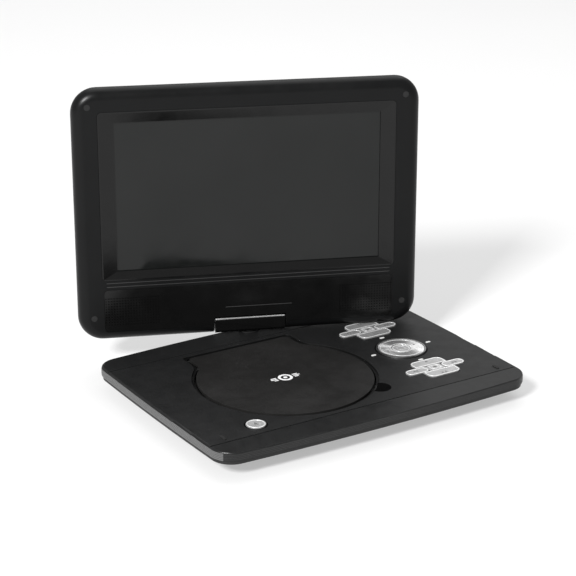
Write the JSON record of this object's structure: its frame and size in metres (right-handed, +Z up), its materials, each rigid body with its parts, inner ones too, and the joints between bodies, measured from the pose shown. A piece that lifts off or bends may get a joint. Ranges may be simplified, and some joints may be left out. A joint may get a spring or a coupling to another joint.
{
  "type": "portable disc player",
  "caption": "Slim black portable disc player with a swivelling, tilting widescreen lid, a hinged round drive door and silver playback keys on the base.",
  "frame": {"origin": "on the floor plane at the centre of the base's footprint", "axes": "+X to the user's right along the base's width, +Y from the keys' front edge towards the hinge, +Z up"},
  "size_m": [0.2521, 0.2332, 0.2075],
  "materials": {
    "black_case": "fine pebble texture, satin black",
    "dark_floor_plastic": "smooth matt black",
    "gloss_black": "glossy black",
    "screen_glass": "glossy dark screen film",
    "satin_silver": "satin chrome plated keys",
    "spun_metal": "spun with concentric lines",
    "bright_chrome": "polished",
    "rubber_black": "moulded rubber",
    "rubber_grey": "soft grey pads",
    "steel": "zinc plated sheet and rod",
    "panel_metal": "thin pressed display tray",
    "brass_bush": "turned brass",
    "board_green": "solder mask",
    "cell_blue": "shrink film",
    "lens_glass": "coated lens",
    "speaker_black": "paper cone in a plastic basket"
  },
  "bodies": {
    "base": {"top_case": "black_case", "bottom_case": "black_case", "rubber_feet": "rubber_black", "case_screws": "steel", "battery_cover": "black_case", "battery_cells": "cell_blue", "disc_well": "dark_floor_plastic", "loader_chassis": "steel", "loader_dampers": "rubber_black", "loader_screws": "steel", "sled_rails": "steel", "sled_motor": "steel", "spindle_motor": "steel", "key_board": "board_green", "main_board": "board_green", "dc_inlet": "dark_floor_plastic", "signal_jacks": "dark_floor_plastic", "swivel_bush": "brass_bush", "nav_ring": "satin_silver", "direction_marks": "satin_silver", "lid_bumpers": "rubber_black"},
    "door": {"disc_door": "black_case", "door_hinge_pins": "steel"},
    "latch": {"door_latch": "dark_floor_plastic"},
    "open_button": {"open_button": "satin_silver"},
    "spindle": {"spindle_hub": "dark_floor_plastic"},
    "sled": {"optical_pickup": "dark_floor_plastic", "pickup_lens": "lens_glass"},
    "lead_screw": {"lead_screw": "steel"},
    "nav_gimbal": {"nav_gimbal": "dark_floor_plastic"},
    "nav_pad": {"nav_pad": "spun_metal"},
    "ok_button": {"ok_button": "spun_metal"},
    "power_slider": {"power_slider": "black_case"},
    "swivel": {"hinge_turntable": "black_case", "swivel_retainer": "steel", "hinge_block": "gloss_black", "hinge_trim": "bright_chrome", "tilt_shafts": "steel"},
    "lid": {"lid_front_frame": "black_case", "lid_back_cover": "black_case", "screen_bezel": "gloss_black", "screen_glass": "screen_glass", "lcd_panel": "panel_metal", "lcd_driver_board": "board_green", "speaker_panel": "gloss_black", "left_speaker": "speaker_black", "right_speaker": "speaker_black", "tilt_brackets": "steel", "lid_screws": "steel", "screw_pads": "rubber_grey"},
    "rear_block_rear_key": {"rear_block_rear_key": "satin_silver"},
    "rear_block_front_key": {"rear_block_front_key": "satin_silver"},
    "rear_block_left_key": {"rear_block_left_key": "satin_silver"},
    "rear_block_right_key": {"rear_block_right_key": "satin_silver"},
    "rear_block_centre_key": {"rear_block_centre_key": "satin_silver"},
    "front_block_rear_key": {"front_block_rear_key": "satin_silver"},
    "front_block_front_key": {"front_block_front_key": "satin_silver"},
    "front_block_left_key": {"front_block_left_key": "satin_silver"},
    "front_block_right_key": {"front_block_right_key": "satin_silver"},
    "front_block_centre_key": {"front_block_centre_key": "satin_silver"}
  },
  "joints": [
    {"name": "screen_swivel", "type": "hinge", "parent": "base", "child": "swivel", "pos_m": [0, 0.08525, 0.029], "axis": [0, 0, 1], "range_deg": [-158, 112]},
    {"name": "screen_tilt", "type": "hinge", "parent": "swivel", "child": "lid", "pos_m": [0, 0.08525, 0.029], "axis": [-0.9272, 0.3746, 0], "range_deg": [-91.2, 88.8]},
    {"name": "door_hinge", "type": "hinge", "parent": "base", "child": "door", "pos_m": [-0.0242, 0.0586, 0.0183], "axis": [1, 0, 0], "range_deg": [-75, 0]},
    {"name": "open_press", "type": "slide", "parent": "base", "child": "open_button", "axis": [0, 0, -1], "range_m": [0, 0.0012], "stiffness_N_per_m": 900},
    {"name": "latch_slide", "type": "slide", "parent": "base", "child": "latch", "axis": [-0.7194, -0.6946, 0], "range_m": [0, 0.0012]},
    {"name": "spindle_spin", "type": "hinge", "parent": "base", "child": "spindle", "pos_m": [-0.0242, -0.0042, 0.0148], "axis": [0, 0, 1], "continuous": true},
    {"name": "sled_travel", "type": "slide", "parent": "base", "child": "sled", "axis": [0, -1, 0], "range_m": [0, 0.031]},
    {"name": "lead_screw_turn", "type": "hinge", "parent": "base", "child": "lead_screw", "pos_m": [-0.0017, -0.0042, 0.0062], "axis": [0, 1, 0], "range_deg": [0, 1870]},
    {"name": "nav_tilt_sideways", "type": "hinge", "parent": "base", "child": "nav_gimbal", "pos_m": [0.0746, -0.0039, 0.0158], "axis": [0, 1, 0], "range_deg": [-2.5, 2.5], "stiffness_Nm_per_rad": 0.6},
    {"name": "nav_tilt_fore_aft", "type": "hinge", "parent": "nav_gimbal", "child": "nav_pad", "pos_m": [0.0746, -0.0039, 0.0158], "axis": [1, 0, 0], "range_deg": [-2.5, 2.5], "stiffness_Nm_per_rad": 0.6},
    {"name": "ok_press", "type": "slide", "parent": "base", "child": "ok_button", "axis": [0, 0, -1], "range_m": [0, 0.0007], "stiffness_N_per_m": 1200},
    {"name": "power_slide", "type": "slide", "parent": "base", "child": "power_slider", "axis": [0, 1, 0], "range_m": [0, 0.003]},
    {"name": "rear_block_rear_press", "type": "slide", "parent": "base", "child": "rear_block_rear_key", "axis": [0, 0, -1], "range_m": [0, 0.0007], "stiffness_N_per_m": 1200},
    {"name": "rear_block_front_press", "type": "slide", "parent": "base", "child": "rear_block_front_key", "axis": [0, 0, -1], "range_m": [0, 0.0007], "stiffness_N_per_m": 1200},
    {"name": "rear_block_left_press", "type": "slide", "parent": "base", "child": "rear_block_left_key", "axis": [0, 0, -1], "range_m": [0, 0.0007], "stiffness_N_per_m": 1200},
    {"name": "rear_block_right_press", "type": "slide", "parent": "base", "child": "rear_block_right_key", "axis": [0, 0, -1], "range_m": [0, 0.0007], "stiffness_N_per_m": 1200},
    {"name": "rear_block_centre_press", "type": "slide", "parent": "base", "child": "rear_block_centre_key", "axis": [0, 0, -1], "range_m": [0, 0.0007], "stiffness_N_per_m": 1200},
    {"name": "front_block_rear_press", "type": "slide", "parent": "base", "child": "front_block_rear_key", "axis": [0, 0, -1], "range_m": [0, 0.0007], "stiffness_N_per_m": 1200},
    {"name": "front_block_front_press", "type": "slide", "parent": "base", "child": "front_block_front_key", "axis": [0, 0, -1], "range_m": [0, 0.0007], "stiffness_N_per_m": 1200},
    {"name": "front_block_left_press", "type": "slide", "parent": "base", "child": "front_block_left_key", "axis": [0, 0, -1], "range_m": [0, 0.0007], "stiffness_N_per_m": 1200},
    {"name": "front_block_right_press", "type": "slide", "parent": "base", "child": "front_block_right_key", "axis": [0, 0, -1], "range_m": [0, 0.0007], "stiffness_N_per_m": 1200},
    {"name": "front_block_centre_press", "type": "slide", "parent": "base", "child": "front_block_centre_key", "axis": [0, 0, -1], "range_m": [0, 0.0007], "stiffness_N_per_m": 1200}
  ],
  "couplings": [
    {"joint": "latch_slide", "follows": "open_press", "ratio": 1},
    {"joint": "lead_screw_turn", "follows": "sled_travel", "rad_per_m": 1047.2}
  ]
}
